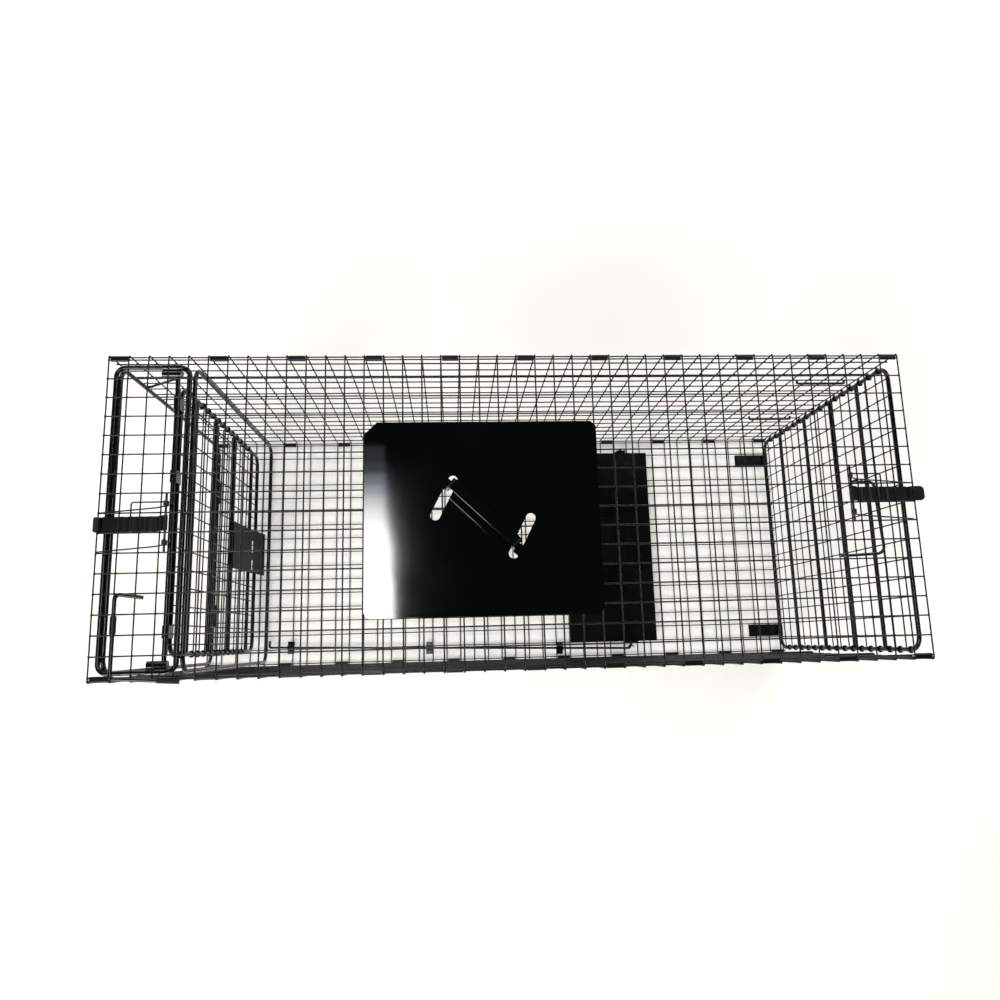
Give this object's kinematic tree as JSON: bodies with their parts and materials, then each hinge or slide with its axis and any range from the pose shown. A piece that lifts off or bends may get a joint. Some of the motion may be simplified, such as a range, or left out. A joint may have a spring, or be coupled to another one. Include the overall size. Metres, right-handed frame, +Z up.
{
  "type": "live catch trap",
  "caption": "Black wire-mesh box cage trap with a swinging front door, drop-down rear door, trip pan, sprung latches and a swivel carry handle on a guard plate",
  "frame": {"origin": "on the ground under the middle of the cage", "axes": "+X from the front mouth towards the rear door, +Y to the left side seen from the mouth, +Z up"},
  "size_m": [1.1009, 0.4221, 0.5075],
  "materials": {
    "powder_coated_wire": "semi-gloss black powder coat over welded steel wire and rod",
    "powder_coated_sheet": "gloss black powder coat over steel sheet",
    "glossy_brackets": "gloss black coated steel, brighter than the wires",
    "rivets": "black coated steel rivet heads",
    "spring_wire": "dark oiled spring wire",
    "rubber_sleeve": "matte black rubber"
  },
  "bodies": {
    "cage": {"door_hinge_brackets": "glossy_brackets", "door_pivot_rod": "powder_coated_wire", "floor_left_clips": "powder_coated_sheet", "floor_mesh": "powder_coated_wire", "floor_pads": "powder_coated_sheet", "floor_right_clips": "powder_coated_sheet", "floor_rivets": "rivets", "front_latch_axle": "powder_coated_wire", "front_latch_spring_legs": "spring_wire", "front_mouth_frame": "powder_coated_wire", "front_side_hook": "powder_coated_wire", "guard_plate": "powder_coated_sheet", "guard_plate_rails": "powder_coated_sheet", "inner_frame": "powder_coated_wire", "left_wall_mesh": "powder_coated_wire", "rear_door_floor_brackets": "powder_coated_sheet", "rear_latch_axle": "powder_coated_wire", "rear_latch_spring_legs": "spring_wire", "rear_latch_stop": "powder_coated_wire", "rear_stay_rods": "powder_coated_wire", "right_wall_mesh": "powder_coated_wire", "top_left_clips": "powder_coated_sheet", "top_loop": "powder_coated_wire", "top_mesh": "powder_coated_wire", "top_right_clips": "powder_coated_sheet", "trigger_lever_clip": "powder_coated_sheet", "trip_pan_brackets": "powder_coated_sheet", "trip_rod_guides": "powder_coated_sheet"},
    "front_door": {"front_door_frame": "powder_coated_wire", "front_door_cross_rods": "powder_coated_wire", "front_door_mesh": "powder_coated_wire", "front_door_wire_wraps": "powder_coated_wire", "front_door_hinge_straps": "powder_coated_sheet"},
    "lock_plate": {"door_lock_plate": "powder_coated_sheet"},
    "rear_door": {"rear_door_frame": "powder_coated_wire", "rear_door_cross_rods": "powder_coated_wire", "rear_door_mesh": "powder_coated_wire", "rear_door_wire_wraps": "powder_coated_wire"},
    "front_latch": {"front_latch_strap": "powder_coated_sheet", "front_latch_spring_arm": "spring_wire"},
    "rear_latch": {"rear_latch_strap": "powder_coated_sheet", "rear_latch_spring_arm": "spring_wire"},
    "carry_handle": {"carry_handle": "powder_coated_sheet"},
    "trip_pan": {"trip_pan": "powder_coated_sheet", "trip_pan_lugs": "powder_coated_sheet", "trip_pan_rivets": "rivets", "trip_pan_pivot_rod": "powder_coated_wire", "trip_pan_crank": "powder_coated_sheet"},
    "trip_rod": {"trip_rod": "powder_coated_wire"},
    "trigger_lever": {"trigger_lever": "powder_coated_wire", "trigger_lever_sleeve": "rubber_sleeve"}
  },
  "joints": [
    {"name": "front_door_swing", "type": "hinge", "parent": "cage", "child": "front_door", "pos_m": [-0.4514, 0, 0.4424], "axis": [0, -1, 0], "range_deg": [0, 70]},
    {"name": "lock_plate_swing", "type": "hinge", "parent": "front_door", "child": "lock_plate", "pos_m": [-0.4514, -0.0127, 0.1694], "axis": [0, -1, 0], "range_deg": [0, 35]},
    {"name": "rear_door_drop", "type": "hinge", "parent": "cage", "child": "rear_door", "pos_m": [0.5279, 0, 0.0086], "axis": [0, 1, 0], "range_deg": [0, 90]},
    {"name": "front_latch_lift", "type": "hinge", "parent": "cage", "child": "front_latch", "pos_m": [-0.4525, -0.0127, 0.4589], "axis": [0, 1, 0], "range_deg": [0, 5.5], "stiffness_Nm_per_rad": 0.4, "springref_deg": -11.46},
    {"name": "rear_latch_lift", "type": "hinge", "parent": "cage", "child": "rear_latch", "pos_m": [0.4499, 0.0127, 0.4589], "axis": [0, -1, 0], "range_deg": [0, 5.5], "stiffness_Nm_per_rad": 0.4, "springref_deg": -11.46},
    {"name": "handle_swivel", "type": "hinge", "parent": "cage", "child": "carry_handle", "pos_m": [-0.0494, -0.0132, 0.4674], "axis": [0, 0, 1], "range_deg": [-3.4, 36.6]},
    {"name": "trip_pan_tilt", "type": "hinge", "parent": "cage", "child": "trip_pan", "pos_m": [0.2386, 0, 0.0174], "axis": [0, -1, 0], "range_deg": [0, 5]},
    {"name": "trip_rod_slide", "type": "slide", "parent": "cage", "child": "trip_rod", "axis": [0.9996, -0.0273, 0], "range_m": [0, 0.0009]},
    {"name": "trigger_lever_lift", "type": "hinge", "parent": "cage", "child": "trigger_lever", "pos_m": [-0.5054, -0.1472, 0.4678], "axis": [0, -1, 0], "range_deg": [0, 100]}
  ],
  "couplings": [
    {"joint": "trip_rod_slide", "follows": "trip_pan_tilt", "m_per_rad": 0.0097}
  ]
}
